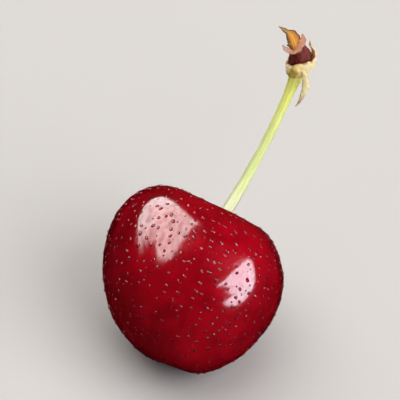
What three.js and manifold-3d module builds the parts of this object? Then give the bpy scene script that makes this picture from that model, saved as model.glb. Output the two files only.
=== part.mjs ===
import * as THREE from "three";
import { mergeVertices } from "three/addons/utils/BufferGeometryUtils.js";
import Module from "manifold-3d";

// A picked sweet cherry lying on its cheek, with its whole stem and the dry
// bud scales that came away with it. Millimetres, +Z up, the origin in the
// small flat spot that the fruit rests on.

// The fruit in its own axes: X across the two cheeks, Y through its
// thickness, Z up the core from the blossom end to the stem. The angle "down"
// runs from 0 at the stem to pi at the blossom end, "around" turns about Z.
const FRUIT = {
  halfWidth: 11.3,
  halfThickness: 10.8,
  halfHeight: 13.2,
  radiusWaves: [0.28, -0.06], // full shoulders over a tapering lower half
  heightWaves: [0.14, -0.09], // flattened crown, rounded blossom end
  shoulderDrop: 1.2, // the shoulder on +X sits lower than the one on -X
  tipShift: 2.1, // the blossom end leans towards +X
  facesAround: 72,
  facesDown: 44,
};
const CAVITY = { centreX: 0.9, depth: 4.8, reach: 3.8, lastDown: 1.2 };
const SUTURE = { around: THREE.MathUtils.degToRad(25), depth: 0.25, halfWidth: 0.11 };
const SCAR = { depth: 0.3, reach: 0.9, firstDown: 2.6 };

// How the fruit lies: tipped towards +X, then laid back onto its far cheek.
const TIPPED_RIGHT = THREE.MathUtils.degToRad(20);
const LAID_BACK = THREE.MathUtils.degToRad(52.5);
const FRUIT_CENTRE = new THREE.Vector3(-1.1, -0.85, 10.79);

// The stem's line, measured from the fruit's centre: it leaves along the core
// and bends up, ending at the collar of scales.
const STEM = {
  root: new THREE.Vector3(4.35, 6.8, 5.5),
  bend: new THREE.Vector3(11.2, 15.15, 11.03),
  top: new THREE.Vector3(15.65, 20.25, 22.63),
  radius: 0.65,
  footSwell: 0.4, // added where it widens into its foot in the cavity
  footReach: 0.06, // share of the length over which the foot fades out
  lowerSwell: 0.2, // added along the thicker lower part
  lowerReach: 0.3,
  topSwell: 0.2,
  topReach: 0.1,
  endRadius: 0.45, // both ends are rounded off to this
  sides: 14,
  steps: 30,
};

// The stem's upper end, in axes of its own: Z out of the cup, X to its full
// side, the origin where the cup grips the stem.
const END_GAP = 0.3;
const END_LEAN = THREE.MathUtils.degToRad(-18);
const CUP = {
  height: 2.8,
  footRadius: 0.85,
  rimRadius: 2,
  wall: 0.6,
  floor: 0.95,
  outside: [[0.78, 0.3], [1, 0.6], [1, 1]], // shares of the rim's radius and height, going up
  inside: [[1, 1], [1, 0.65], [0.7, 0.34]], // of the mouth's radius and the height, going down
  fullAt: 0.6, // the share of the height above which it stands fully aside
  shift: 0.6, // how far its mouth stands to +X of its foot
  tilt: 0.45, // how much higher the rim is on +X, and lower on -X
  spike: 0.9, // a torn point of the rim on +X
  spikeWidth: 0.3, // radians round the rim
  sides: 32,
};
const CORE = {
  centreX: 0.55,
  radius: 1.25,
  bluntness: 0.6, // 1 is an egg, less is more of a barrel
  bottom: 1.1,
  top: 4.8,
  sides: 20,
  rings: 14,
};

const BLADE_HALF_THICKNESS = 0.3;
const BLADE_SIDES = 10;
const POINTED = {
  spine: [
    [0.15, -0.75, 5.0],
    [-0.25, -0.6, 5.7],
    [-0.65, -0.3, 6.5],
    [-1.4, 0, 7.2],
    [-2.5, 0.2, 7.65],
  ],
  halfWidths: [0.75, 0.95, 0.75, 0.35, 0.3],
  front: [0.1, -1, 0.2],
  steps: 16,
};
const TORN = {
  spine: [
    [-1.95, -0.75, 5.15],
    [-1.3, -1.2, 4.7],
    [-0.5, -1.55, 4.7],
    [0.35, -1.55, 5.35],
    [1.05, -1, 6.1],
    [1.05, -0.1, 6.6],
  ],
  halfWidths: [0.35, 0.42, 0.5, 0.5, 0.45, 0.3],
  front: [0, -0.45, 0.9],
  steps: 20,
};
const HANGING = {
  spine: [
    [1.1, -2.42, 1.9],
    [1.4, -2, 0.55],
    [1.55, -1.6, -0.95],
    [1.1, -1.4, -2.4],
    [0.5, -1.25, -3.65],
    [-0.05, -1.1, -4.4],
  ],
  halfWidths: [0.4, 0.5, 0.62, 0.42, 0.3, 0.3],
  front: [0.1, -1, 0.1],
  steps: 18,
};

const FINISH = {
  fruit: new THREE.MeshStandardMaterial({ color: 0x9c0a1e, roughness: 0.2, metalness: 0 }),
  stem: new THREE.MeshStandardMaterial({ color: 0xc4d06a, roughness: 0.5, metalness: 0 }),
  cup: new THREE.MeshStandardMaterial({ color: 0xe6cf8c, roughness: 0.75, metalness: 0 }),
  core: new THREE.MeshStandardMaterial({ color: 0x6b2a22, roughness: 0.7, metalness: 0 }),
  orange: new THREE.MeshStandardMaterial({ color: 0xd6903f, roughness: 0.7, metalness: 0 }),
  torn: new THREE.MeshStandardMaterial({ color: 0xc99478, roughness: 0.8, metalness: 0 }),
  straw: new THREE.MeshStandardMaterial({ color: 0xe3cf93, roughness: 0.8, metalness: 0 }),
};

const wasm = await Module();
wasm.setup();

/** A named mesh with one finish. */
function piece(name, geometry, material) {
  const mesh = new THREE.Mesh(geometry, material);
  mesh.name = name;
  return mesh;
}

/** Welds a geometry so that only shared positions are left. */
function welded(geometry) {
  geometry.deleteAttribute("normal");
  geometry.deleteAttribute("uv");
  return mergeVertices(geometry, 1e-5);
}

/** A closed geometry as a solid that can be cut. */
function solidOf(geometry) {
  const shell = welded(geometry);
  const mesh = new wasm.Mesh({
    numProp: 3,
    vertProperties: new Float32Array(shell.attributes.position.array),
    triVerts: new Uint32Array(shell.index.array),
  });
  return new wasm.Manifold(mesh);
}

/** A cut solid as a geometry again. */
function geometryOf(solid) {
  const mesh = solid.getMesh();
  const geometry = new THREE.BufferGeometry();
  geometry.setAttribute("position", new THREE.BufferAttribute(mesh.vertProperties, 3));
  geometry.setIndex(new THREE.BufferAttribute(mesh.triVerts, 1));
  geometry.computeVertexNormals();
  return geometry;
}

/** Moves every vertex of a geometry to place(x, y, z), a Vector3. */
function reshape(geometry, place) {
  const position = geometry.attributes.position;
  for (let i = 0; i < position.count; i += 1) {
    const moved = place(position.getX(i), position.getY(i), position.getZ(i));
    position.setXYZ(i, moved.x, moved.y, moved.z);
  }
  return geometry;
}

/** A smooth bell that is 1 at 0 and fades out past 1. */
function bell(distance) {
  return Math.exp(-distance * distance);
}

/** The point of the fruit's skin at the angles down and around, in its own axes. */
function skinPoint(down, around) {
  const [radiusTwice, radiusThrice] = FRUIT.radiusWaves;
  const [heightTwice, heightThrice] = FRUIT.heightWaves;
  const furrow = SUTURE.depth * bell((around - SUTURE.around) / SUTURE.halfWidth) * Math.sin(down);
  const radius = Math.sin(down) + radiusTwice * Math.sin(2 * down) + radiusThrice * Math.sin(3 * down);
  const lowness = ((1 - Math.cos(down)) / 2) ** 2;
  const across = FRUIT.halfWidth * radius - furrow;
  const through = FRUIT.halfThickness * radius - furrow;
  const x = across * Math.cos(around) + FRUIT.tipShift * lowness;
  const y = through * Math.sin(around);
  const upper = Math.max(Math.cos(down), 0);
  let z = Math.cos(down) + heightTwice * Math.cos(2 * down) + heightThrice * Math.cos(3 * down);
  z *= FRUIT.halfHeight;
  z -= 2 * FRUIT.shoulderDrop * Math.cos(around) * Math.sin(down) ** 2 * upper;
  if (down < CAVITY.lastDown) {
    z -= CAVITY.depth * bell(Math.hypot(x - CAVITY.centreX, y) / CAVITY.reach);
  }
  if (down > SCAR.firstDown) {
    z += SCAR.depth * bell(Math.hypot(x - FRUIT.tipShift, y) / SCAR.reach);
  }
  return new THREE.Vector3(x, y, z);
}

/** The whole skin as it lies, with the flat spot that it rests on cut off. */
function fruitGeometry() {
  const ball = new THREE.SphereGeometry(1, FRUIT.facesAround, FRUIT.facesDown);
  reshape(ball, (x, y, z) => {
    const down = Math.acos(THREE.MathUtils.clamp(y, -1, 1));
    return skinPoint(down, Math.atan2(-z, x));
  });
  ball.rotateY(TIPPED_RIGHT);
  ball.rotateX(-LAID_BACK);
  const size = 4 * FRUIT.halfHeight;
  const ground = new THREE.BoxGeometry(size, size, size);
  ground.translate(0, 0, -FRUIT_CENTRE.z - size / 2);
  return geometryOf(solidOf(ball).subtract(solidOf(ground)));
}

/**
 * A closed bar swept along a curve. Its oval section is halfWidth(share) wide
 * and halfThickness(share) deep, the depth pointing as near to front as it can.
 */
function sweep(curve, front, halfWidth, halfThickness, sides, steps) {
  const bar = new THREE.CylinderGeometry(1, 1, 1, sides, steps);
  return reshape(bar, (x, y, z) => {
    const share = 0.5 + y;
    const tangent = curve.getTangentAt(share);
    const side = new THREE.Vector3().crossVectors(tangent, front).normalize();
    const depth = new THREE.Vector3().crossVectors(side, tangent);
    return curve
      .getPointAt(share)
      .addScaledVector(side, x * halfWidth(share))
      .addScaledVector(depth, z * halfThickness(share));
  });
}

/** The stem's radius at a share of its length, with a foot and a swollen top. */
function stemRadius(share) {
  if (share === 0 || share === 1) {
    return STEM.endRadius;
  }
  const foot = STEM.footSwell * bell(share / STEM.footReach);
  const lower = STEM.lowerSwell * bell(share / STEM.lowerReach);
  const top = STEM.topSwell * bell((1 - share) / STEM.topReach);
  return STEM.radius + foot + lower + top;
}

/** The stem, from its foot in the cavity to just under the cup. */
function stemGeometry() {
  const line = new THREE.QuadraticBezierCurve3(STEM.root, STEM.bend, STEM.top);
  const front = new THREE.Vector3(1, 0, 0);
  return sweep(line, front, stemRadius, stemRadius, STEM.sides, STEM.steps);
}

/** The open cup of old scale that the stem ends in, its mouth aside and torn. */
function cupGeometry() {
  const mouthRadius = CUP.rimRadius - CUP.wall;
  const scaled = (shares, radius) => {
    return shares.map(([out, up]) => new THREE.Vector2(out * radius, up * CUP.height));
  };
  const profile = [
    new THREE.Vector2(0, END_GAP),
    new THREE.Vector2(CUP.footRadius, END_GAP),
    ...scaled(CUP.outside, CUP.rimRadius),
    ...scaled(CUP.inside, mouthRadius),
    new THREE.Vector2(0, CUP.floor),
  ];
  const cup = new THREE.LatheGeometry(profile, CUP.sides);
  cup.rotateX(Math.PI / 2);
  return reshape(cup, (x, y, z) => {
    const around = Math.atan2(y, x);
    const aside = CUP.shift * THREE.MathUtils.smoothstep(z, END_GAP, CUP.fullAt * CUP.height);
    const lift = CUP.tilt * Math.cos(around) + CUP.spike * bell(around / CUP.spikeWidth);
    return new THREE.Vector3(x + aside, y, z + lift * (z / CUP.height) ** 4);
  });
}

/** The dark bud tissue standing in the cup, a blunt egg. */
function coreGeometry() {
  const core = new THREE.SphereGeometry(1, CORE.sides, CORE.rings);
  core.rotateX(Math.PI / 2);
  const middle = (CORE.top + CORE.bottom) / 2;
  const halfHeight = (CORE.top - CORE.bottom) / 2;
  return reshape(core, (x, y, z) => {
    const reach = Math.hypot(x, y);
    const radius = reach < 1e-6 ? 0 : CORE.radius * reach ** (CORE.bluntness - 1);
    return new THREE.Vector3(CORE.centreX + radius * x, radius * y, middle + halfHeight * z);
  });
}

/** A dry scale: a blade along its spine, its width eased between the given ones. */
function scaleGeometry({ spine, halfWidths, front, steps }) {
  const line = new THREE.CatmullRomCurve3(spine.map((point) => new THREE.Vector3(...point)));
  const facing = new THREE.Vector3(...front).normalize();
  const last = halfWidths.length - 1;
  const halfWidth = (share) => {
    const from = Math.min(Math.floor(share * last), last - 1);
    const eased = THREE.MathUtils.smoothstep(share * last - from, 0, 1);
    return THREE.MathUtils.lerp(halfWidths[from], halfWidths[from + 1], eased);
  };
  return sweep(line, facing, halfWidth, () => BLADE_HALF_THICKNESS, BLADE_SIDES, steps);
}

/** The cup, its core and the three dry scales at the stem's upper end. */
function buildStemEnd() {
  const end = new THREE.Group();
  end.add(piece("scale_cup", cupGeometry(), FINISH.cup));
  end.add(piece("bud_core", coreGeometry(), FINISH.core));
  end.add(piece("scale_pointed", scaleGeometry(POINTED), FINISH.orange));
  end.add(piece("scale_torn", scaleGeometry(TORN), FINISH.torn));
  end.add(piece("scale_hanging", scaleGeometry(HANGING), FINISH.straw));
  end.rotation.x = END_LEAN;
  end.position.copy(STEM.top);
  return end;
}

/** The fruit and its stem, about the fruit's centre. */
function buildCherry() {
  const cherry = new THREE.Group();
  cherry.add(piece("fruit", fruitGeometry(), FINISH.fruit));
  cherry.add(piece("stem", stemGeometry(), FINISH.stem));
  cherry.add(buildStemEnd());
  cherry.position.copy(FRUIT_CENTRE);
  return cherry;
}

export default buildCherry();
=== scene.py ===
"""A picked sweet cherry, wet all over: its looks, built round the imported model.

Sizes and places are in millimetres in the model's own frame, and turn into
metres where a mesh or a light is made. Angles are in degrees until they are
used. Materials read metres, so their sizes are written as so many times MM.
"""

from __future__ import annotations

import logging
from dataclasses import dataclass
from enum import Enum
from typing import Mapping, Sequence

import bmesh
import bpy
import numpy as np
from bpy.types import ID, Light, Material, NodeSocket, Object
from mathutils import Matrix, Vector


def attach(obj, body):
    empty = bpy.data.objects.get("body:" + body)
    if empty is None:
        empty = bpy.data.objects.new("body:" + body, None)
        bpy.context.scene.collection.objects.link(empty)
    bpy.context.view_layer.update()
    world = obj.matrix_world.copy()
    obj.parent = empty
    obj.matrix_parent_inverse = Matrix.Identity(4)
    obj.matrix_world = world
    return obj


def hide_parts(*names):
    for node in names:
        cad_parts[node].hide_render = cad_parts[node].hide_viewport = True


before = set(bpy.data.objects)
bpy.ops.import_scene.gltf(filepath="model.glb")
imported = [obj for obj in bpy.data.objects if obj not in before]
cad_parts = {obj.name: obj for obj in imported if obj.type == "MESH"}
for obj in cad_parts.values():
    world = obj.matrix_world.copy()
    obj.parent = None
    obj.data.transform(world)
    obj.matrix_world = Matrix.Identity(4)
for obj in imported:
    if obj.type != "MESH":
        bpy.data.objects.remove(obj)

MM = 0.001
FULL_TURN = 2 * np.pi
STRAND_CREEP = 0.12

Array = np.ndarray
Pair = tuple[float, float]
Triple = tuple[float, float, float]

logging.basicConfig(level=logging.INFO, format="%(message)s")
log = logging.getLogger("cherry")


class Slot(Enum):
    """The pieces' material slots."""

    SKIN = "skin"
    STEM = "stem"
    CUP = "cup"
    CORE = "core"
    POINTED = "pointed_scale"
    TORN = "torn_scale"
    HANGING = "hanging_scale"


# --- arithmetic ---


def ink(code: str) -> tuple[float, ...]:
    """The linear colour that shaders take, for a display colour such as "b4051e".

    A share of full brightness up to 0.04045 is divided by 12.92. A higher one
    gains 0.055, is divided by 1.055 and is raised to the power of 2.4.

    Args:
        code: six hexadecimal digits, red, green and blue.

    Returns:
        Linear red, green, blue and an alpha of 1.
    """
    shares = [byte / 255 for byte in bytes.fromhex(code)]
    linear = [s / 12.92 if s <= 0.04045 else ((s + 0.055) / 1.055) ** 2.4 for s in shares]
    return (*linear, 1.0)


def bell(distance: Array) -> Array:
    """A smooth bell: e to the minus distance squared, 1 at 0 and faint past 2."""
    return np.exp(-np.square(distance))


def step(shares: Array) -> Array:
    """A smooth step from 0 to 1: 3 squares less 2 cubes of the share, held in that range."""
    held = np.clip(shares, 0, 1)
    return held**2 * (3 - 2 * held)


def unit(vectors: Array) -> Array:
    """Vectors cut to length 1 along their last axis."""
    return vectors / np.linalg.norm(vectors, axis=-1, keepdims=True)


def circle(columns: int) -> Array:
    """Even angles once round, in radians, as one row of a grid."""
    return np.linspace(0, FULL_TURN, columns, endpoint=False)[None]


def off(around: Array, degrees: float) -> Array:
    """How far angles are from the one given, in radians and within half a turn."""
    return np.angle(np.exp(1j * (around - np.radians(degrees))))


def waves(around: Array, *terms: tuple[int, float, float | Array]) -> Array:
    """Cosine waves round a circle, added up: each has a count, a strength and a phase."""
    return sum(strength * np.cos(count * around + phase) for count, strength, phase in terms)


def polar(radius: Array | float, around: Array, height: Array | float) -> Array:
    """Points at radii, at angles about Z and at heights, on one grid."""
    x, y = radius * np.cos(around), radius * np.sin(around)
    return np.stack(np.broadcast_arrays(x, y, height), axis=-1)


def turn(axis: str, degrees: float) -> Array:
    """The 3 by 3 matrix that turns a column vector about "X", "Y" or "Z"."""
    return np.array(Matrix.Rotation(np.radians(degrees), 3, axis))


def eased(shares: Array, values: Sequence[float]) -> Array:
    """Evenly spaced values joined by smooth steps, read at shares of the way along them."""
    whole, part = np.divmod(shares * (len(values) - 1), 1)
    return np.interp(whole + step(part), np.arange(len(values)), values)


@dataclass(frozen=True)
class Ripple:
    """Smooth random relief, to about depth either way, from seeded plane waves.

    Each is the sine of (direction . point * 2 pi / wavelength + phase), with
    wavelengths spread round the given one.
    """

    wavelength: float
    seed: int
    depth: float = 1.0
    count: int = 14
    spread: Pair = (0.7, 1.5)

    def __call__(self, points: Array) -> Array:
        """The relief at points.

        Args:
            points: x, y and z along the last axis.

        Returns:
            One number a point.
        """
        draw = np.random.default_rng(self.seed)
        directions = unit(draw.normal(size=(self.count, 3)))
        lengths = self.wavelength * draw.uniform(*self.spread, self.count)
        phases = draw.uniform(0, FULL_TURN, self.count)
        angles = points @ (directions * (FULL_TURN / lengths)[:, None]).T + phases
        return self.depth * np.sin(angles).sum(axis=-1) / np.sqrt(2 * self.count)


@dataclass(frozen=True)
class Spine:
    """A smooth line through a few points, with a side that faces front.

    Between neighbours it is a cubic whose slopes at the points are those of a
    line through the points on either side.
    """

    points: Sequence[Triple]
    front: Triple
    samples: int = 400

    def at(self, shares: Array) -> tuple[Array, Array, Array]:
        """Places along the line.

        Args:
            shares: distances along the line, from 0 to 1, one a place.

        Returns:
            The places, the unit vectors across the line and those facing front.
        """
        fine = np.linspace(0, 1, self.samples)
        steps = np.linalg.norm(np.diff(self._cubic(fine), axis=0), axis=1)
        travelled = np.concatenate([[0], np.cumsum(steps)])
        places = self._cubic(np.interp(shares * travelled[-1], travelled, fine))
        along = unit(np.gradient(places, axis=0))
        across = unit(np.cross(along, np.asarray(self.front, float)))
        return places, across, np.cross(across, along)

    def _cubic(self, shares: Array) -> Array:
        """Points of the cubics.

        Args:
            shares: places from the first point, 0, to the last, 1.

        Returns:
            One point a place.
        """
        knots = np.asarray(self.points, float)
        slopes = np.gradient(knots, axis=0)
        gap = np.minimum(shares * (len(knots) - 1), len(knots) - 2).astype(int)
        share = (shares * (len(knots) - 1) - gap)[:, None]
        start, end = knots[gap], knots[gap + 1]
        pull = (1 - share) * slopes[gap] - share * slopes[gap + 1]
        return start + step(share) * (end - start) + share * (1 - share) * pull


# --- meshes ---


def mesh_object(
    name: str,
    vertices: Array,
    faces: Sequence[Array],
    materials: Sequence[Material],
    fields: Mapping[str, Array] | None = None,
) -> Object:
    """A smooth-shaded object at the origin, its faces turned to point outwards.

    Args:
        name: the object's name.
        vertices: points in millimetres, one a row.
        faces: arrays of vertex numbers, one face a row.
        materials: what its material slots hold.
        fields: mesh attributes, one number or vector a vertex.

    Returns:
        The object, linked to the scene.
    """
    mesh = bpy.data.meshes.new(name)
    mesh.from_pydata(vertices * MM, [], [face for rows in faces for face in rows.tolist()])
    shell = bmesh.new()
    shell.from_mesh(mesh)
    if shell.calc_volume(signed=True) < 0:
        mesh.flip_normals()
    shell.free()
    mesh.shade_smooth()
    for title, values in (fields or {}).items():
        kind, key = ("FLOAT", "value") if values.ndim == 1 else ("FLOAT_VECTOR", "vector")
        attribute = mesh.attributes.new(title, kind, "POINT")
        attribute.data.foreach_set(key, values.astype(np.float32).ravel())
    for material in materials:
        mesh.materials.append(material)
    made = bpy.data.objects.new(name, mesh)
    bpy.context.scene.collection.objects.link(made)
    return made


def tube_faces(rows: int, columns: int) -> tuple[Array, Array, Array]:
    """Faces of a tube of rings, closed by fans.

    The points of the rings are numbered first, then the middles of the end rings.

    Args:
        rows: how many rings.
        columns: how many points a ring.

    Returns:
        The wall's quads, then the triangles of the first and last fans.
    """
    here = np.arange(rows * columns).reshape(rows, columns)
    beside = np.roll(here, -1, axis=1)
    walls = np.stack([here[:-1], beside[:-1], beside[1:], here[1:]], axis=-1).reshape(-1, 4)
    first, last = np.full(columns, rows * columns), np.full(columns, rows * columns + 1)
    lower = np.stack([first, beside[0], here[0]], axis=-1)
    upper = np.stack([last, here[-1], beside[-1]], axis=-1)
    return walls, lower, upper


def with_ends(values: Array) -> Array:
    """Ring values laid out one a vertex, then the means of the first and last rings."""
    rest = values.shape[2:]
    return np.concatenate([values.reshape(-1, *rest), values[[0, -1]].mean(axis=1)])


def closed_tube(name: str, rings: Array, material: Material, fields: Mapping[str, Array]) -> Object:
    """A tube of rings, shaped (rings, points a ring, 3), closed by fans, with fields on it."""
    laid = {title: with_ends(values) for title, values in fields.items()}
    return mesh_object(name, with_ends(rings), tube_faces(*rings.shape[:2]), [material], laid)


def fibre_field(around: Array, share: Array, length: float) -> Array:
    """Coordinates that draw noise into strands: once round a piece, and slowly along it."""
    return polar(1.0, around, share * length * STRAND_CREEP)


# --- shader maths ---


class Value:
    """A socket of a shader that Python arithmetic can be written with."""

    def __init__(self, shader: Shader, socket: NodeSocket | None) -> None:
        """Wraps an output socket of the shader's tree, if the node has one."""
        self.shader = shader
        self.socket = socket

    def maths(self, operation: str, *terms: Value | float) -> Value:
        """A Math node on the given terms."""
        return self.shader.node("ShaderNodeMath", {"operation": operation}, dict(enumerate(terms)))

    def __add__(self, other: Value | float) -> Value:
        """The sum."""
        return self.maths("ADD", self, other)

    def __sub__(self, other: Value | float) -> Value:
        """The difference."""
        return self.maths("SUBTRACT", self, other)

    def __rsub__(self, other: float) -> Value:
        """The difference, taken from a plain number."""
        return self.maths("SUBTRACT", other, self)

    def __mul__(self, other: Value | float) -> Value:
        """The product."""
        return self.maths("MULTIPLY", self, other)

    __radd__ = __add__
    __rmul__ = __mul__

    def rise(self, low: float, high: float) -> Value:
        """0 below low, 1 above high and a smooth step between them."""
        inputs = {"Value": self, "From Min": low, "From Max": high}
        return self.shader.node("ShaderNodeMapRange", {"interpolation_type": "SMOOTHSTEP"}, inputs)


@dataclass(frozen=True)
class Noise:
    """Soft noise from 0 to 1, in the units of the coordinates that it reads.

    One blot is size wide, with detail finer layers, each as strong as rough says.
    Cut into patches, it is 0 below low and 1 above high. As relief, its whole
    range is depth metres deep.
    """

    size: float
    detail: float = 2
    rough: float = 0.5
    low: float = 0.0
    high: float = 1.0
    depth: float = 0.0


@dataclass(frozen=True)
class Dots:
    """Scattered dots: solid up to core spacings from their middles, gone at rim spacings."""

    spacing: float
    core: float
    rim: float


@dataclass(frozen=True)
class Tint:
    """A display colour, and how much of it shows at the most."""

    code: str
    share: float = 1.0


Layer = tuple["Value", Tint]


class Shader:
    """A node tree under construction."""

    def __init__(self, owner: ID) -> None:
        """Starts from an empty tree.

        Args:
            owner: the material, light or world that the tree belongs to.
        """
        owner.use_nodes = True
        self.owner = owner
        self.tree = owner.node_tree
        self.tree.nodes.clear()

    def node(
        self,
        kind: str,
        settings: Mapping[str, object] | None = None,
        inputs: Mapping[str | int, object] | None = None,
        output: int | str = 0,
    ) -> Value:
        """Adds any node.

        Args:
            kind: its type.
            settings: its properties, set first, stops being those of a ramp.
            inputs: values, colour codes or links for its sockets.
            output: which output is wanted.

        Returns:
            That output, empty for a node that ends a tree.
        """
        made = self.tree.nodes.new(kind)
        for name, setting in (settings or {}).items():
            if name == "stops":
                self._lay_stops(made.color_ramp, setting)
            else:
                setattr(made, name, setting)
        for key, value in (inputs or {}).items():
            if isinstance(value, Value):
                self.tree.links.new(value.socket, made.inputs[key])
            else:
                made.inputs[key].default_value = ink(value) if isinstance(value, str) else value
        return Value(self, made.outputs[output] if made.outputs else None)

    @staticmethod
    def _lay_stops(ramp: bpy.types.ColorRamp, stops: Sequence[Pair]) -> None:
        """Lays a ramp's stops, with smooth steps between them.

        Args:
            ramp: the ramp of a new node.
            stops: places along it, each with a height from 0 to 1.
        """
        ramp.interpolation = "EASE"
        while len(ramp.elements) < len(stops):
            ramp.elements.new(0.5)
        for stop, (where, height) in zip(ramp.elements, sorted(stops)):
            stop.position = where
            stop.color = (height, height, height, 1)

    def point(self) -> Value:
        """The object's own coordinates, in metres."""
        return self.node("ShaderNodeTexCoord", output="Object")

    def field(self, name: str, output: str = "Fac") -> Value:
        """A mesh attribute, as one number a vertex or as the output Vector."""
        return self.node("ShaderNodeAttribute", {"attribute_name": name}, output=output)

    def noise(self, place: Value, kind: Noise) -> Value:
        """Noise as it is, read at place."""
        grain = {"Scale": 1 / kind.size, "Detail": kind.detail, "Roughness": kind.rough}
        return self.node("ShaderNodeTexNoise", None, {"Vector": place, **grain})

    def patches(self, place: Value, kind: Noise) -> Value:
        """Noise cut into patches, read at place."""
        return self.noise(place, kind).rise(kind.low, kind.high)

    def dots(self, place: Value, kind: Dots) -> Value:
        """1 in scattered dots and 0 between them, read at place."""
        inputs = {"Vector": place, "Scale": 1 / kind.spacing}
        return 1 - self.node("ShaderNodeTexVoronoi", None, inputs).rise(kind.core, kind.rim)

    def mix(self, share: Value | float, first: Value | str, second: Value | str) -> Value:
        """The first colour, turning into the second as share goes from 0 to 1."""
        inputs = {0: share, 6: first, 7: second}
        return self.node("ShaderNodeMix", {"data_type": "RGBA"}, inputs, 2)

    def paint(self, colour: Value, *layers: Layer) -> Value:
        """Lays tints over a colour.

        Args:
            colour: what lies below.
            layers: tints in turn, each with the mask that is 1 where it shows.

        Returns:
            The colour with its tints.
        """
        for mask, tint in layers:
            colour = self.mix(mask * tint.share, colour, tint.code)
        return colour

    def relief(self, height: Value, depth: float, under: Value | None = None) -> Value:
        """A normal bumped by height, depth metres deep in all, over another normal."""
        inputs = {"Height": height, "Distance": depth} | ({"Normal": under} if under else {})
        return self.node("ShaderNodeBump", None, inputs)

    def end(self, shader: str, inputs: Mapping[str, object], output: str) -> ID:
        """Ends the tree in a shader and the output that takes it, and gives back its owner."""
        self.node(output, None, {"Surface": self.node(shader, None, inputs)})
        return self.owner

    def finish(self, **sockets: object) -> Material:
        """Ends a material in a Principled shader, its sockets named with _ for a space."""
        inputs = {name.replace("_", " "): value for name, value in sockets.items()}
        return self.end("ShaderNodeBsdfPrincipled", inputs, "ShaderNodeOutputMaterial")


# --- finishes ---


@dataclass(frozen=True)
class SkinFinish:
    """Glossy crimson skin: mottled, faintly streaked from stem to tip, freckled. The mottle is
    partly the skin's own tone and partly painted shade and painted light, shifted to lie where the
    fruit is shaded and lit.
    """

    bright: str = "a00517"
    deep: str = "78040f"
    streak: Tint = Tint("b00a1b", 0.3)
    freckle: Tint = Tint("c2303a", 0.25)
    seam: Tint = Tint("60000c", 0.5)
    hollow: Tint = Tint("8d0a0c", 0.6)
    scar: Tint = Tint("7a4a2c")
    blots: Noise = Noise(7 * MM, 3, 0.55, low=0.32, high=0.7)
    # Offset of the mottle, set so its dark blots fall where the fruit is shaded and its bright ones
    # where it is lit: painted shade and painted light.
    blot_shade_offset: Triple = (0.0, 0.0, 19 * MM)
    streaks: Noise = Noise(1.0, 3, 0.6, low=0.5, high=0.75)
    freckles: Dots = Dots(1.1 * MM, 0.05, 0.12)
    bumps: Sequence[Noise] = (
        Noise(2.2 * MM, depth=0.05 * MM),
        Noise(0.7 * MM, depth=0.01 * MM),
        Noise(0.25 * MM, depth=0.003 * MM),
    )
    roughness: float = 0.1
    blot_roughness: float = 0.03
    hollow_roughness: float = 0.16
    scar_roughness: float = 0.4
    hollow_coat_loss: float = 0.85

    def material(self) -> Material:
        """Builds the material from the skin's fields grain, hollow, seam and scar.

        Returns:
            The material.
        """
        skin = Shader(bpy.data.materials.new("cherry_skin"))
        point, grain = skin.point(), skin.field("grain", "Vector")
        hollow, seam, scar = (skin.field(name) for name in ("hollow", "seam", "scar"))
        sums = {0: point, 1: self.blot_shade_offset}
        moved = skin.node("ShaderNodeVectorMath", {"operation": "ADD"}, sums)
        blots = skin.patches(moved, self.blots)
        # Deep to bright red mottle: partly the skin's own tone, partly painted shade and painted
        # light.
        colour = skin.paint(
            skin.mix(blots, self.deep, self.bright),
            (skin.patches(grain, self.streaks), self.streak),
            (skin.dots(point, self.freckles), self.freckle),
            (seam, self.seam),
            (hollow, self.hollow),
            (scar, self.scar),
        )
        normal = None
        for bumps in self.bumps:
            normal = skin.relief(skin.noise(point, bumps), bumps.depth, normal)
        rough = self.roughness + blots * self.blot_roughness
        rough = rough + hollow * self.hollow_roughness + scar * self.scar_roughness
        return skin.finish(
            Base_Color=colour,
            Roughness=rough,
            IOR=1.5,
            Subsurface_Weight=0.25,
            Subsurface_Radius=(1.0, 0.08, 0.06),
            Subsurface_Scale=1.6 * MM,
            Coat_Weight=1 - hollow * self.hollow_coat_loss,
            Coat_Roughness=0.04,
            Coat_IOR=1.45,
            Normal=normal,
        )


@dataclass(frozen=True)
class PlainFinish:
    """A finish that is the same all over, with bend as its index of refraction."""

    name: str
    colour: str
    roughness: float
    bend: float
    clear: float = 0.0

    def material(self) -> Material:
        """Builds the material.

        Returns:
            The material.
        """
        plain = Shader(bpy.data.materials.new(self.name))
        looks = {"Base Color": self.colour, "Roughness": self.roughness, "IOR": self.bend}
        return plain.finish(**looks, Transmission_Weight=self.clear)


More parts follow.
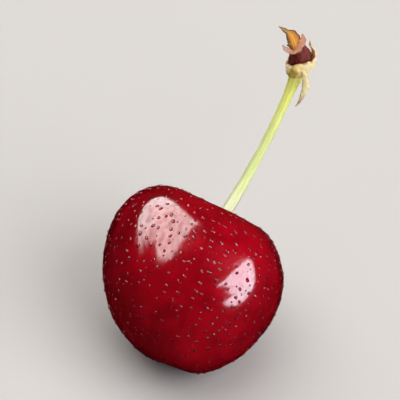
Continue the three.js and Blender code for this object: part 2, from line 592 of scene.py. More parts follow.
@dataclass(frozen=True, kw_only=True)
class GrownFinish:
    """A fibrous finish, its colour changing from root to body and from body to tip.

    Each change takes a stretch of the piece's length. Strands along it show in
    colour, gloss and relief, and grain adds finer relief.
    """

    name: str
    root: str
    body: str
    tip: str
    fibre: str
    fibre_share: float = 0.55
    root_to_body: Pair = (0.0, 0.4)
    body_to_tip: Pair = (0.55, 0.85)
    strands: Noise = Noise(0.3, 4, 0.65, low=0.42, high=0.66, depth=0.08 * MM)
    grain: Noise = Noise(0.2 * MM, 3, 0.65, depth=0.03 * MM)
    roughness: float = 0.62
    strand_roughness: float = 0.2
    bend: float = 1.3
    flesh_share: float = 0.4
    flesh_colour: Triple = (0.8, 0.6, 0.4)
    flesh_depth: float = 0.4 * MM

    def material(self) -> Material:
        """Builds the material from the fields share and fibre, and those of its marks.

        Returns:
            The material.
        """
        grown = Shader(bpy.data.materials.new(self.name))
        share, fibre = grown.field("share"), grown.field("fibre", "Vector")
        strands = grown.noise(fibre, self.strands)
        grain = grown.noise(grown.point(), self.grain)
        normal = grown.relief(strands, self.strands.depth)
        colour = grown.mix(share.rise(*self.root_to_body), self.root, self.body)
        colour = grown.mix(share.rise(*self.body_to_tip), colour, self.tip)
        fibres = strands.rise(self.strands.low, self.strands.high)
        marks = self.marks(grown, (fibres, Tint(self.fibre, self.fibre_share)))
        return grown.finish(
            Base_Color=grown.paint(colour, *marks),
            Roughness=self.roughness + strands * self.strand_roughness,
            IOR=self.bend,
            Subsurface_Weight=self.flesh_share,
            Subsurface_Radius=self.flesh_colour,
            Subsurface_Scale=self.flesh_depth,
            Normal=grown.relief(grain, self.grain.depth, normal),
        )

    def marks(self, grown: Shader, fibres: Layer) -> Sequence[Layer]:
        """What is laid over the colour, in order: the fibres alone, unless told otherwise."""
        return (fibres,)


@dataclass(frozen=True, kw_only=True)
class StemFinish(GrownFinish):
    """Satin green stalk, paler towards the fruit, with ribs, flecks and a corky foot. Its bright
    yellow top is partly its own colour and partly painted light that cancels the cup's shadow on
    it.
    """

    name: str = "green_stem"
    root: str = "e4ead0"
    body: str = "dbea9e"
    # Bright top: its own yellow-green, made lighter still as painted light against the cup's
    # shadow.
    tip: str = "f4f87c"
    fibre: str = "b4c254"
    fibre_share: float = 0.45
    root_to_body: Pair = (0.02, 0.4)
    body_to_tip: Pair = (0.5, 1.0)
    strands: Noise = Noise(0.35, 3, 0.6, low=0.35, high=0.75, depth=0.05 * MM)
    grain: Noise = Noise(0.12 * MM, 2, 0.6, depth=0.012 * MM)
    roughness: float = 0.34
    bend: float = 1.45
    flesh_share: float = 0.15
    flesh_colour: Triple = (0.6, 0.8, 0.2)
    flesh_depth: float = 0.5 * MM
    fleck: Tint = Tint("8a7a45", 0.6)
    flecks: Dots = Dots(0.9, 0.08, 0.16)
    ring: Tint = Tint("7d6a3c")
    ring_height: float = 0.035

    def marks(self, stalk: Shader, fibres: Layer) -> Sequence[Layer]:
        """The fibres, then corky flecks, then the ring of cork that the foot ends in.

        Args:
            stalk: the shader under construction.
            fibres: the strands' mask and tint.

        Returns:
            Masks and tints.
        """
        flecks = stalk.dots(stalk.field("fibre", "Vector"), self.flecks)
        ring = 1 - stalk.field("share").rise(0.0, self.ring_height)
        return fibres, (flecks, self.fleck), (ring, self.ring)


@dataclass(frozen=True, kw_only=True)
class ScaleFinish(GrownFinish):
    """A dry papery scale with soft patches and browned edges, wider with more edging. On the
    pointed scale the wide dark edges are partly painted shade.
    """

    patch: str
    edge: str
    patch_share: float = 0.4
    edging: float = 0.0
    patches: Noise = Noise(1.3 * MM, low=0.45, high=0.68)
    blots: Noise = Noise(0.5 * MM, 3, 0.6, low=0.3, high=0.6)

    def marks(self, scale: Shader, fibres: Layer) -> Sequence[Layer]:
        """Patches, then the fibres, then blots along the edges, from the field rim.

        Args:
            scale: the shader under construction.
            fibres: the strands' mask and tint.

        Returns:
            Masks and tints.
        """
        point = scale.point()
        patches = scale.patches(point, self.patches), Tint(self.patch, self.patch_share)
        blots = scale.noise(point, self.blots) + self.edging
        edges = scale.field("rim") * blots.rise(self.blots.low, self.blots.high)
        return patches, fibres, (edges, Tint(self.edge))


# --- the fruit ---


@dataclass
class Fruit:
    """The fruit: one closed skin, as it lies.

    In its own axes X runs across the cheeks, Y through them and Z up the core.
    The angle down goes from 0 at the stem to pi at the tip, around about Z.
    """

    half_width: float = 11.3
    half_thickness: float = 10.8
    half_height: float = 13.2
    radius_waves: Pair = (0.28, -0.06)
    height_waves: Pair = (0.14, -0.09)
    shoulder_drop: float = 1.2
    tip_shift: float = 2.1
    cavity_centre: float = 0.9
    cavity_depth: float = 4.8
    cavity_reach: float = 3.8
    cavity_last_down: float = 1.2
    suture_around: float = 25
    suture_depth: float = 0.25
    suture_half_width: float = 0.11
    scar_depth: float = 0.3
    scar_reach: float = 0.9
    scar_first_down: float = 2.6
    scar_half_angle: float = 0.06
    tipped_right: float = 20
    laid_back: float = 52.5
    centre: Triple = (-1.1, -0.85, 10.79)
    swell: Ripple = Ripple(6, seed=3, depth=0.05)
    flat_blend: float = 0.02
    hollow_ends: float = 0.35
    hollow_fade: float = 0.5
    columns: int = 400
    rows: int = 230
    grain_around: float = 16
    grain_down: float = 1.6
    finish: SkinFinish = SkinFinish()

    def skin(self, down: Array, around: Array) -> Array:
        """Points of the skin.

        The distance from the core is sin(down) plus two smaller sine waves, and
        the height cos(down) plus two smaller cosine waves. Bells sink the cavity,
        the scar at the tip and the suture. One shoulder is lowered, the tip
        shifted and a ripple added. What would pass the ground is pressed flat.

        Args:
            down: angles from the stem's end.
            around: angles about the core, of the same shape.

        Returns:
            Points in the model's frame.
        """
        furrow = self.suture_depth * self._seam(around) * np.sin(down)
        twice, thrice = self.radius_waves
        radius = np.sin(down) + twice * np.sin(2 * down) + thrice * np.sin(3 * down)
        x = (self.half_width * radius - furrow) * np.cos(around)
        x = x + self.tip_shift * np.square((1 - np.cos(down)) / 2)
        y = (self.half_thickness * radius - furrow) * np.sin(around)
        twice, thrice = self.height_waves
        z = np.cos(down) + twice * np.cos(2 * down) + thrice * np.cos(3 * down)
        shoulder = np.cos(around) * np.sin(down) ** 2 * np.maximum(np.cos(down), 0)
        z = self.half_height * z - 2 * self.shoulder_drop * shoulder
        hollow = bell(np.hypot(x - self.cavity_centre, y) / self.cavity_reach)
        z = z - self.cavity_depth * hollow * (down < self.cavity_last_down)
        scar = bell(np.hypot(x - self.tip_shift, y) / self.scar_reach)
        z = z + self.scar_depth * scar * (down > self.scar_first_down)
        own = np.stack([x, y, z], axis=-1)
        own = own * (1 + self.swell(own) / self.half_width)[..., None]
        attitude = turn("X", -self.laid_back) @ turn("Y", self.tipped_right)
        placed = own @ attitude.T + np.asarray(self.centre)
        placed[..., 2] = self.flat_blend * np.logaddexp(placed[..., 2] / self.flat_blend, 0)
        return placed

    def _seam(self, around: Array) -> Array:
        """1 along the suture and 0 away from it."""
        return bell(off(around, self.suture_around) / self.suture_half_width)

    def outward(self, down: Array, around: Array) -> Array:
        """Vectors out of the skin, the cross products of two small steps on it.

        Args:
            down: angles from the stem's end.
            around: angles about the core, of the same shape.

        Returns:
            Vectors as long as the area that the steps span.
        """
        small = 1e-3
        along = self.skin(down + small, around) - self.skin(down - small, around)
        across = self.skin(down, around + small) - self.skin(down, around - small)
        return np.cross(along, across)

    def build(self) -> Object:
        """Builds and dresses the fruit.

        Returns:
            The skin.
        """
        downs = np.linspace(0, np.pi, self.rows + 2)[1:-1]
        down, around = np.meshgrid(downs, circle(self.columns)[0], indexing="ij")
        fields = {
            "grain": polar(self.grain_around * np.sin(down), around, self.grain_down * down),
            "hollow": 1 - step((down - self.hollow_ends) / self.hollow_fade),
            "seam": self._seam(around),
            "scar": bell((np.pi - down) / self.scar_half_angle),
        }
        return closed_tube("fruit_skin", self.skin(down, around), self.finish.material(), fields)


@dataclass(frozen=True)
class DropSize:
    """A band of drops: how many, their radii in millimetres and how finely they are cut."""

    count: int
    smallest: float
    largest: float
    columns: int
    rows: int


@dataclass
class WaterDrops:
    """Fine water drops on the skin, in a few size bands.

    The outline's waves have a count and a strength each. Stand is how far a rim
    is off the skin, in radii, and spacing how far apart two drops' middles are
    at least, in sums of their radii.
    """

    fruit: Fruit
    seed: int = 11
    bands: Sequence[DropSize] = (
        DropSize(700, 0.21, 0.32, 12, 4),
        DropSize(320, 0.1, 0.18, 10, 3),
        DropSize(160, 0.06, 0.09, 8, 2),
    )
    outline: Sequence[tuple[int, float]] = ((2, 0.13), (3, 0.05), (5, 0.02))
    wetting_angle: float = 46
    lowest: float = 0.9
    stand: float = 0.02
    spacing: float = 1.4
    spare: int = 2
    first_down: float = 0.35
    last_down: float = np.pi - 0.05
    cells: tuple[int, int] = (90, 120)
    water: PlainFinish = PlainFinish("clear_water", "ffffff", 0.12, 1.5, clear=1.0)
    # Drop soles: matte red darker than the skin's own, painted shade that darkens every drop.
    shaded_wet_skin: PlainFinish = PlainFinish("shaded_wet_skin", "680410", 0.9, 1.05)

    def build(self) -> Object:
        """Builds the drops as one piece, their soles dressed as skin without its gloss and darker
        than its own red: painted shade that darkens each drop.

        Returns:
            The drops.
        """
        draw = np.random.default_rng(self.seed)
        spots, radii, bands = self._scatter(draw)
        vertices, clear, wet, start = [], [], [], 0
        for number, band in enumerate(self.bands):
            chosen = bands == number
            domes = self._domes(spots[chosen], radii[chosen], band, draw)
            each = domes.shape[1]
            offsets = start + each * np.arange(len(domes))[:, None, None]
            walls, crown, sole = (
                (faces + offsets).reshape(-1, faces.shape[1])
                for faces in tube_faces(band.rows, band.columns)
            )
            vertices.append(domes.reshape(-1, 3))
            clear += [walls, crown]
            wet.append(sole)
            start += each * len(domes)
        materials = [self.water.material(), self.shaded_wet_skin.material()]
        drops = mesh_object("water_drops", np.concatenate(vertices), clear + wet, materials)
        counts = [sum(map(len, clear)), sum(map(len, wet))]
        drops.data.polygons.foreach_set("material_index", np.repeat([0, 1], counts))
        drops.visible_shadow = False
        return drops

    def _scatter(self, draw: np.random.Generator) -> tuple[Array, Array, Array]:
        """Places and radii of drops.

        More cells of a grid over the skin than are wanted are drawn, with chances
        in proportion to their areas. Any drop that touches an earlier one or lies
        near the ground is left out.

        Args:
            draw: the source of chance.

        Returns:
            Pairs of angles down and around, radii and band numbers.
        """
        candidates = [self.spare * band.count for band in self.bands]
        downs = np.linspace(self.first_down, self.last_down, self.cells[0])
        arounds = circle(self.cells[1])[0]
        down, around = np.meshgrid(downs, arounds, indexing="ij")
        area = np.linalg.norm(self.fruit.outward(down, around), axis=-1).ravel()
        cell = draw.choice(area.size, size=sum(candidates), p=area / area.sum())
        spots = np.stack([down.ravel()[cell], around.ravel()[cell]], axis=-1)
        spots += draw.uniform(-0.5, 0.5, spots.shape) * (downs[1] - downs[0], arounds[1])
        sizes = zip(self.bands, candidates)
        radii = [draw.uniform(band.smallest, band.largest, count) for band, count in sizes]
        radii = np.concatenate(radii)
        bands = np.repeat(np.arange(len(self.bands)), candidates)
        places = self.fruit.skin(spots[:, 0], spots[:, 1])
        squares = np.square(places).sum(axis=1)
        apart = squares[:, None] + squares[None] - 2 * places @ places.T
        touching = apart < np.square(self.spacing * (radii[:, None] + radii[None]))
        crowded = np.tril(touching, -1).any(axis=1)
        kept = ~crowded & (places[:, 2] > self.lowest)
        for number, band in enumerate(self.bands):
            kept[np.flatnonzero(kept & (bands == number))[band.count :]] = False
        return spots[kept], radii[kept], bands[kept]

    def _domes(
        self, spots: Array, radii: Array, band: DropSize, draw: np.random.Generator
    ) -> Array:
        """Domes of water: caps of spheres on slightly uneven outlines.

        At an angle from its crown up to the wetting angle w, a cap's point is
        sin(angle) / sin(w) out and (cos(angle) - cos(w)) / sin(w) up, in radii.

        Args:
            spots: pairs of angles down and around.
            radii: their radii.
            band: their band.
            draw: the source of chance.

        Returns:
            Points, shaped (drops, points a drop, 3): rings, crown, middle of the sole.
        """
        places = self.fruit.skin(spots[:, 0], spots[:, 1])
        out = unit(self.fruit.outward(spots[:, 0], spots[:, 1]))
        across = unit(np.cross(out, draw.normal(size=out.shape)))
        along = np.cross(out, across)
        wetting = np.radians(self.wetting_angle)
        lifts = wetting * np.arange(1, band.rows + 1) / band.rows
        reach = np.sin(lifts) / np.sin(wetting)
        heights = (np.cos([*lifts, 0]) - np.cos(wetting)) / np.sin(wetting) + self.stand
        around = circle(band.columns)
        phases = draw.uniform(0, FULL_TURN, (len(self.outline), len(radii), 1))
        terms = [(*wave, phase) for wave, phase in zip(self.outline, phases)]
        outline = 1 + waves(around, *terms)
        rim = np.einsum("dc,dx->dcx", outline * np.cos(around), across)
        rim += np.einsum("dc,dx->dcx", outline * np.sin(around), along)
        out = out[:, None]
        rings = rim[:, None] * reach[:, None, None] + out[:, None] * heights[:-1, None, None]
        rings = rings.reshape(len(radii), -1, 3)
        domes = [rings, out * heights[-1], out * 2 * self.stand]
        return places[:, None] + np.concatenate(domes, axis=1) * radii[:, None, None]


# --- the stem and its end ---


@dataclass
class Stem:
    """The stalk, from its foot in the cavity up to the cup of scales.

    A swell has its height, and its place and reach as shares of the length. A
    rib wave has its count, strength, phase and twist.
    """

    fruit: Fruit
    root: Triple = (4.2, 6.5, 5.25)
    bend: Triple = (11.2, 15.15, 11.03)
    top: Triple = (15.65, 20.25, 22.63)
    radius: float = 0.65
    swells: Sequence[Triple] = ((0.55, 0, 0.05), (0.2, 0, 0.3), (0.25, 1, 0.08))
    ribs: Sequence[tuple[int, float, float, float]] = ((5, 1.0, 0, 3), (9, 0.6, 1, -5))
    rib_depth: float = 0.04
    wobble: Ripple = Ripple(3.5, seed=5, depth=0.035)
    strand_length: float = 26
    columns: int = 72
    rows: int = 420
    finish: StemFinish = StemFinish()

    def build(self) -> Object:
        """Builds and dresses the stem.

        Its line is a parabola from root to top drawn towards bend. Its radius is
        a constant plus a bell a swell, times slowly winding cosine waves.

        Returns:
            The stem.
        """
        share = np.linspace(0, 1, self.rows)[:, None]
        root, bend, top = (np.asarray(p) for p in (self.root, self.bend, self.top))
        line = (1 - share) ** 2 * root + 2 * share * (1 - share) * bend + share**2 * top
        line = line + np.asarray(self.fruit.centre)
        along = unit(np.gradient(line, axis=0))
        across = unit(np.cross(along, (1.0, 0.0, 0.0)))
        around = circle(self.columns)
        radius = self.radius + sum(
            more * bell((share - where) / reach) for more, where, reach in self.swells
        )
        terms = [(*wave, phase + twist * share) for *wave, phase, twist in self.ribs]
        radius = radius * (1 + self.rib_depth * waves(around, *terms))
        rings = line[:, None] + (radius * np.cos(around))[..., None] * across[:, None]
        rings = rings + (radius * np.sin(around))[..., None] * np.cross(across, along)[:, None]
        rings = rings + self.wobble(rings)[..., None] * unit(rings - line[:, None])
        share = np.broadcast_to(share, radius.shape)
        fields = {"share": share, "fibre": fibre_field(around, share, self.strand_length)}
        return closed_tube("stem_stalk", rings, self.finish.material(), fields)


@dataclass
class StemEnd:
    """Where the scales sit: Z out of the cup, X to its full side, the origin at its foot."""

    stem: Stem
    lean: float = -18

    def place(self, points: Array) -> Array:
        """Points in the stem end's own axes as points of the model's frame."""
        origin = np.asarray(self.stem.top) + np.asarray(self.stem.fruit.centre)
        return points @ turn("X", self.lean).T + origin


@dataclass
class CupScale:
    """The fleshy cup of old scale that grips the stem, its mouth aside and torn.

    The body has shares of the way from the foot's radius to the rim's, evenly up
    the cup. A fold has a count, a strength and a phase. Lining is how far down
    the inside goes, lip the share of it in which the wall gains its thickness,
    and the closings the shares of the profile that narrow to the axis.
    """

    end: StemEnd
    height: float = 2.8
    grip: float = 0.15
    foot: float = 0.86
    rim: float = 2.0
    wall: float = 0.26
    body: Sequence[float] = (0.0, 0.34, 0.64, 0.9, 1.05, 1.1, 0.98)
    lining: float = 0.75
    lip: float = 1 / 12
    foot_closing: float = 0.03
    floor_closing: float = 0.07
    shift: float = 0.6
    shift_starts: float = 0.3
    shift_rise: float = 1.4
    tilt: float = 0.45
    spike: float = 2.3
    spike_around: float = 4.5837
    spike_half_width: float = 0.15
    ragged: Ripple = Ripple(1.1, seed=8, depth=0.2)
    crumple: Ripple = Ripple(1.2, seed=4, depth=0.07)
    folds: Sequence[Triple] = ((3, 0.07, 1.4), (7, 0.035, 1))
    lean_in: float = 0.33
    green_around: float = 240
    green_half_width: float = 0.4
    green_share: float = 0.8
    edge_from: float = 0.86
    lining_edge: float = 0.5
    lining_from: float = 0.02
    strand_length: float = 5
    columns: int = 180
    rows: int = 100
    finish: ScaleFinish = ScaleFinish(
        name="cream_scale",
        root="b8a440", body="ffeab0", tip="fff2d0",
        fibre="fadc98", patch="c4a848", edge="a87844",
        patch_share=0.5,
    )

    def build(self) -> Object:
        """Builds and dresses the cup.

        A profile runs up the outside, over the rim and down the inside. Cosine
        waves fold the wall, and what stands above the rest of the rim leans in.

        Returns:
            The cup.
        """
        around = circle(self.columns)
        run = np.linspace(0, 1, self.rows)[:, None]
        inside = np.clip(run * 2 - 1, 0, 1)
        rise = np.clip(run * 2, 0, 1) - self.lining * inside
        height = rise * self._rim_height(around) - self.grip * (1 - rise)
        radius = self.foot + (self.rim - self.foot) * eased(rise, self.body)
        radius = radius - self.wall * np.clip(inside / self.lip, 0, 1)
        radius = radius * np.clip(run / self.foot_closing, 0, 1)
        radius = radius * np.clip((1 - run) / self.floor_closing, 0, 1)
        radius = radius * (1 + waves(around, *self.folds) * rise)
        radius = radius - self.lean_in * np.maximum(height - self.height - self.tilt, 0)
        rings = polar(radius, around, height)
        rings[..., 0] += self.shift * step((height - self.shift_starts) / self.shift_rise)
        rings = rings + (self.crumple(rings) * rise)[..., None]
        share = np.broadcast_to(rise, radius.shape)
        green = bell(off(around, self.green_around) / self.green_half_width)
        edge = np.clip((share - self.edge_from) / (1 - self.edge_from), 0, 1)
        fields = {
            "share": share - self.green_share * green,
            "fibre": fibre_field(around, share, self.strand_length),
            "rim": edge + self.lining_edge * (inside > self.lining_from),
        }
        return closed_tube("cup_scale", self.end.place(rings), self.finish.material(), fields)

    def _rim_height(self, around: Array) -> Array:
        """The rim's height: a cosine, a narrow bell for the torn point and a ripple.

        Args:
            around: angles round the cup.

        Returns:
            Heights above the foot.
        """
        spike = bell(off(around, self.spike_around) / self.spike_half_width)
        ragged = self.ragged(polar(self.rim, around, 0.0))
        return self.height + self.tilt * np.cos(around) + self.spike * spike + ragged


@dataclass
class BudCore:
    """The dark bud tissue that fills the cup, in a few tight lobes."""

    end: StemEnd
    aside: float = 0.48
    radius: float = 1.55
    bottom: float = 0.5
    top: float = 4.75
    bluntness: float = 0.7
    lobes: Sequence[Triple] = ((5, 0.05, 0.6), (8, 0.025, 2))
    wrinkles: Sequence[Ripple] = (Ripple(1.0, seed=21, depth=0.08), Ripple(0.4, 22, 0.035))
    strand_length: float = 4
    columns: int = 120
    rows: int = 90
    finish: ScaleFinish = ScaleFinish(
        name="wine_bud",
        root="4c1a02", body="561c08", tip="6e2e24",
        fibre="84402e", patch="701018", edge="3a1004",
        patch_share=0.6,
        roughness=0.5,
    )

    def build(self) -> Object:
        """Builds and dresses the core: a blunt egg with cosine lobes and ripples.

        Returns:
            The core.
        """
        down = np.linspace(0, np.pi, self.rows + 2)[1:-1][:, None]
        around = circle(self.columns)
        radius = self.radius * np.sin(down) ** self.bluntness * (1 + waves(around, *self.lobes))
        middle, half = (self.top + self.bottom) / 2, (self.top - self.bottom) / 2
        rings = polar(radius, around, middle + half * np.cos(down))
        wrinkle = sum(ripple(rings) for ripple in self.wrinkles)
        rings = rings + wrinkle[..., None] * unit(rings - (0, 0, middle)) + (self.aside, 0, 0)
        share = np.broadcast_to(1 - down / np.pi, radius.shape)
        fibre = fibre_field(around, share, self.strand_length)
        fields = {"share": share, "fibre": fibre, "rim": 0 * share}
        return closed_tube("bud_heart", self.end.place(rings), self.finish.material(), fields)


@dataclass
class DryScale:
    """A thin curled blade along its spine, with ragged edges.

    The spine is in the stem end's own axes, with half widths and half depths at
    even steps along it. The curl is how far the edges bend back and ragged how
    far they wander, both in half widths. They darken from edge_from across.
    The waver has a wavelength and a depth.
    """

    end: StemEnd
    name: str
    spine: Spine
    widths: Sequence[float]
    depths: Sequence[float]
    curl: float
    ragged: float
    seed: int
    finish: ScaleFinish
    edge_from: float = 0.7
    tear_length: float = 8
    tear_apart: float = 2
    waver: Pair = (0.8, 0.05)
    fibre_spread: Triple = (3, 0.4, 0.5)
    columns: int = 48
    rows: int = 120

    def build(self) -> Object:
        """Builds and dresses the scale.

        Its section is an oval, width times cosine across and depth times sine
        through, bent by the curl times the square of the place across.

        Returns:
            The blade.
        """
        share = np.linspace(0, 1, self.rows)
        centre, across, front = (vectors[:, None] for vectors in self.spine.at(share))
        width = eased(share, self.widths)[:, None]
        depth = eased(share, self.depths)[:, None]
        share, around = np.broadcast_arrays(share[:, None], circle(self.columns))
        side, face = np.cos(around), np.sin(around)
        edge = np.stack([self.tear_apart * np.sign(side), 0 * side, self.tear_length * share], -1)
        torn = Ripple(wavelength=1.0, seed=self.seed, depth=self.ragged)(edge)
        width = width * (1 + torn * np.abs(side))
        lift = depth * face - self.curl * width * side**2
        rings = centre + (width * side)[..., None] * across + lift[..., None] * front
        length, deep = self.waver
        waver = Ripple(length, self.seed + 1, deep)(rings)
        rings = rings + waver[..., None] * front
        fields = {
            "share": share,
            "fibre": np.stack([side, face, share], axis=-1) * self.fibre_spread,
            "rim": np.clip((np.abs(side) - self.edge_from) / (1 - self.edge_from), 0, 1),
        }
        return closed_tube(self.name, self.end.place(rings), self.finish.material(), fields)


@dataclass
class PointedScale(DryScale):
    """The orange scale on top, which runs out into a thin pale beak. Its wide dark brown rim is
    partly its own browned margin and partly painted shade along its edges.
    """

    name: str = "beak_scale"
    spine: Spine = Spine(
        (
            (0.1, -0.9, 4.3), (-0.12, -0.88, 5.1), (-0.32, -0.5, 5.85),
            (-0.95, -0.05, 6.65), (-2.5, 0.2, 7.7),
        ),
        front=(0.1, -1, 0.2),
    )
    widths: Sequence[float] = (0.8, 1.05, 0.9, 0.32, 0.07)
    depths: Sequence[float] = (0.5, 0.55, 0.35, 0.16, 0.05)
    curl: float = 0.15
    ragged: float = 0.1
    seed: int = 31
    # Wide dark rim: partly the scale's browned margin, partly painted shade.
    edge_from: float = 0.35
    finish: ScaleFinish = ScaleFinish(
        name="orange_scale",
        root="a05a1c", body="cc8a2c", tip="8a8252",
        # Dark brown edge colour over most of the width: partly browned margin, partly painted
        # shade.
        fibre="ecbe6c", patch="bc6a1c", edge="5a2408",
        edging=0.9,
    )


@dataclass
class TornScale(DryScale):
    """The pinkish scale wrapped round the orange one's foot."""

    name: str = "wrapped_scale"
    spine: Spine = Spine(
        (
            (-1.95, -0.6, 5.15), (-1.3, -1.15, 4.65), (-0.5, -1.45, 4.6),
            (0.35, -1.45, 5.2), (0.85, -0.95, 6.05), (0.8, -0.1, 6.65),
        ),
        front=(0, -0.45, 0.9),
    )
    widths: Sequence[float] = (0.15, 0.4, 0.5, 0.5, 0.45, 0.12)
    depths: Sequence[float] = (0.06, 0.1, 0.12, 0.12, 0.09, 0.04)
    curl: float = -0.25
    ragged: float = 0.2
    seed: int = 41
    finish: ScaleFinish = ScaleFinish(
        name="pink_scale",
        root="a89492", body="c28c6c", tip="b47c62",
        fibre="d0a082", patch="8c4c36", edge="6e3a2c",
        patch_share=0.5,
    )


@dataclass
class HangingScale(DryScale):
    """The straw-coloured scale that hangs beside the stem."""

    name: str = "hanging_blade"
    spine: Spine = Spine(
        (
            (0.95, -1.95, 1.75), (1.25, -1.85, 0.55), (1.3, -1.6, -0.95),
            (0.95, -1.4, -2.4), (0.45, -1.25, -3.65), (-0.1, -1.1, -4.45),
        ),
        front=(0.1, -1, 0.1),
    )
    widths: Sequence[float] = (0.3, 0.44, 0.56, 0.44, 0.26, 0.07)
    depths: Sequence[float] = (0.14, 0.12, 0.1, 0.08, 0.06, 0.03)
    curl: float = 0.3
    ragged: float = 0.12
    seed: int = 51
    finish: ScaleFinish = ScaleFinish(
        name="straw_scale",
        root="fbe9a8", body="fff4c4", tip="b09880",
        fibre="f6e2a4", patch="f2d896", edge="b08f5e",
    )


# --- the studio ---


@dataclass(frozen=True)
class Panel:
    """A soft box that faces the fruit.

    The direction is the way to its plane, and aside how far it is moved within
    that. The power is in watts. It either shades surfaces or shines in them.
    """

    name: str
    direction: Triple
    distance: float
    size: Pair
    power: float
    colour: Triple
    aside: Pair = (0.0, 0.0)
    shades: bool = True

    def build(self, subject: Triple) -> Light:
        """Adds the light.

        Args:
            subject: the point that it faces.

        Returns:
            The light's data.
        """
        data = bpy.data.lights.new(self.name, "AREA")
        data.shape = "RECTANGLE"
        data.size, data.size_y = self.size[0] * MM, self.size[1] * MM
        data.energy, data.color = self.power, self.colour
        way = Vector(self.direction).normalized()
        attitude = way.to_track_quat("Z", "Y")
        moved = attitude @ Vector((*self.aside, 0.0))
        light = bpy.data.objects.new(self.name, data)
        light.location = (Vector(subject) + way * self.distance + moved) * MM
        light.rotation_euler = attitude.to_euler()
        light.visible_camera = False
        light.visible_diffuse = self.shades
        light.visible_glossy = not self.shades
        bpy.context.scene.collection.objects.link(light)
        return data


@dataclass(frozen=True)
class Window:
    """A bright window with ragged edges, which only shows as a reflection.

    Places in its plane, square to its direction, are shares of its distance. The
    outline has places up the plane, each with where the window begins and ends
    across. The glow is its radiance.
    """

    name: str
    direction: Triple
    glow: float
    colour: Triple
    outline: Sequence[Triple]
    ragged: float
    softness: float
    distance: float = 350
    wander: Noise = Noise(0.045, 3, 0.65)
    wander_gain: float = 2.6
    mottle: Noise = Noise(0.08, 3, 0.6, low=0.4, high=0.65)
    mottle_share: float = 0.5

    def build(self, subject: Triple) -> None:
        """Adds the light and masks it to the outline.

        Args:
            subject: the point that it faces.
        """
        rows = np.array(self.outline)
        low, high = rows[:, 0].min(), rows[:, 0].max()
        left, right = rows[:, 1].min() - self.ragged, rows[:, 2].max() + self.ragged
        size = ((right - left) * self.distance, (high - low) * self.distance)
        aside = ((left + right) / 2 * self.distance, (low + high) / 2 * self.distance)
        power = self.glow * np.pi * size[0] * size[1] * MM**2
        facing = (self.name, self.direction, self.distance)
        lamp = Panel(*facing, size, power, self.colour, aside, shades=False).build(subject)
        glow = Shader(lamp)
        place = glow.node("ShaderNodeNewGeometry", output="Parametric")
        across = glow.node("ShaderNodeSeparateXYZ", None, {0: place}, "X")
        up = glow.node("ShaderNodeSeparateXYZ", None, {0: place}, "Y")
        shares = (rows - (low, left, left)) / (high - low, right - left, right - left)
        begins, ends = (
            glow.node("ShaderNodeValToRGB", {"stops": shares[:, [0, side]].tolist()}, {0: up})
            for side in (1, 2)
        )
        wander = (glow.noise(place, self.wander) - 0.5) * (self.wander_gain * self.ragged)
        inside = (across - begins + wander).rise(0, self.softness)
        inside = inside * (ends - across + wander).rise(0, self.softness)
        dim = glow.patches(place, self.mottle) * self.mottle_share
        strength = {"Strength": inside * (1 - dim)}
        glow.end("ShaderNodeEmission", strength, "ShaderNodeOutputLight")


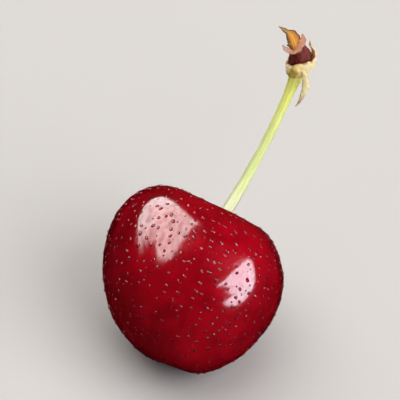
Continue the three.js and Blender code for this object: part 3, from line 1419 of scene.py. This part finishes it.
@dataclass
class Studio:
    """The floor, the lights and the camera."""

    view_elevation: float = 50
    aim: Triple = (1.17, 8.98, 18.79)
    distance: float = 700
    frame_width: float = 56
    sensor: float = 36
    clipping: Pair = (0.01, 10)
    subject: Triple = Fruit.centre
    room_colour: str = "c4c8d0"
    room_strength: float = 0.12
    floor_half_side: float = 1500
    floor_height: float = -0.02
    floor_finish: PlainFinish = PlainFinish("pale_floor", "bab8b5", 0.8, 1.4)
    lights: Sequence[Panel | Window] = (
        Window(
            "tall_window",
            direction=(-0.626, 0.282, 0.727),
            glow=7.0,
            colour=(1.0, 0.93, 0.92),
            outline=(
                (-0.5, -1.4, -0.35), (-0.46, -1.6, 0.1), (-0.42, -1.6, 0.5),
                (-0.32, -1.5, 0.53), (-0.23, -1.45, 0.45), (-0.01, -1.3, 0.47),
                (0.1, -1.25, 0.86), (0.34, -1.15, 0.97), (0.55, -1.06, 0.93),
                (0.66, -1.03, 0.74), (0.77, -1.0, 0.54), (0.87, -0.97, 0.3),
                (0.95, -0.95, 0.04), (0.99, -0.94, -0.4), (1.02, -0.93, -0.86),
            ),
            ragged=0.06,
            softness=0.1,
        ),
        Window(
            "side_window",
            direction=(0.86, -0.464, 0.213),
            glow=10.3,
            colour=(0.87, 0.87, 1.0),
            outline=(
                (-0.28, -0.15, 0.1), (-0.24, -0.42, 0.27), (-0.16, -0.55, 0.4),
                (-0.07, -0.58, 0.5), (-0.03, -0.36, 0.54), (0.04, -0.42, 0.6),
                (0.1, -0.44, 0.67), (0.14, -0.32, 0.7), (0.22, -0.42, 0.68),
                (0.3, -0.56, 0.6), (0.34, -0.2, 0.48), (0.4, 0.08, 0.2),
            ),
            ragged=0.07,
            softness=0.08,
        ),
        Panel("daylight", (-0.1, 0.35, 0.93), 500, (700, 700), 3.3, (1.0, 0.98, 0.95)),
        Panel("front", (0.62, -0.45, 0.74), 900, (800, 700), 8.2, (1.0, 0.98, 1.0)),
    )

    def camera(self) -> None:
        """Sets up a long lens that looks along +Y and down."""
        elevation = np.radians(self.view_elevation)
        back = np.array([0, -np.cos(elevation), np.sin(elevation)])
        data = bpy.data.cameras.new("camera")
        data.sensor_width = self.sensor
        data.lens = self.sensor * self.distance / self.frame_width
        data.clip_start, data.clip_end = self.clipping
        camera = bpy.data.objects.new("camera", data)
        camera.location = (np.asarray(self.aim) + self.distance * back) * MM
        camera.rotation_euler = Vector(-back).to_track_quat("-Z", "Y").to_euler()
        bpy.context.scene.collection.objects.link(camera)
        bpy.context.scene.camera = camera

    def room(self) -> None:
        """Fills the room with a faint even glow that doesn't show in the gloss."""
        world = bpy.data.worlds.new("room")
        bpy.context.scene.world = world
        glow = {"Color": self.room_colour, "Strength": self.room_strength}
        Shader(world).end("ShaderNodeBackground", glow, "ShaderNodeOutputWorld")
        world.cycles_visibility.glossy = False

    def floor(self) -> None:
        """Lays a wide pale floor just under the fruit, kept out of its gloss."""
        corners = np.array([[-1, -1], [1, -1], [1, 1], [-1, 1]]) * self.floor_half_side
        vertices = np.column_stack([corners, np.full(4, self.floor_height)])
        board = self.floor_finish.material()
        floor = mesh_object("floor", vertices, [np.array([[0, 1, 2, 3]])], [board])
        floor.visible_glossy = False

    def build(self) -> None:
        """Makes the whole studio."""
        self.camera()
        self.room()
        self.floor()
        for light in self.lights:
            light.build(self.subject)
        bpy.context.scene.view_settings.view_transform = "Standard"


def dress(piece: Object, slot: Slot, *nodes: str) -> None:
    """Fixes a piece to the model. Only the fruit and its drops show in reflections.

    Args:
        piece: the finished piece.
        slot: its material slot.
        nodes: the solids that it stands for.
    """
    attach(piece, "root")
    piece.visible_glossy = slot is Slot.SKIN
    if nodes:
        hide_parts(*nodes)
    triangles = sum(len(face.vertices) - 2 for face in piece.data.polygons)
    log.info("%s: %d triangles", piece.name, triangles)


def main() -> None:
    """Builds the cherry and its studio."""
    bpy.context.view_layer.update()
    Studio().build()
    fruit = Fruit()
    stem = Stem(fruit)
    end = StemEnd(stem)
    dress(fruit.build(), Slot.SKIN, "fruit")
    dress(WaterDrops(fruit).build(), Slot.SKIN)
    dress(stem.build(), Slot.STEM, "stem")
    dress(CupScale(end).build(), Slot.CUP, "scale_cup")
    dress(BudCore(end).build(), Slot.CORE, "bud_core")
    dress(PointedScale(end).build(), Slot.POINTED, "scale_pointed")
    dress(TornScale(end).build(), Slot.TORN, "scale_torn")
    dress(HangingScale(end).build(), Slot.HANGING, "scale_hanging")


if __name__ == "__main__":
    main()
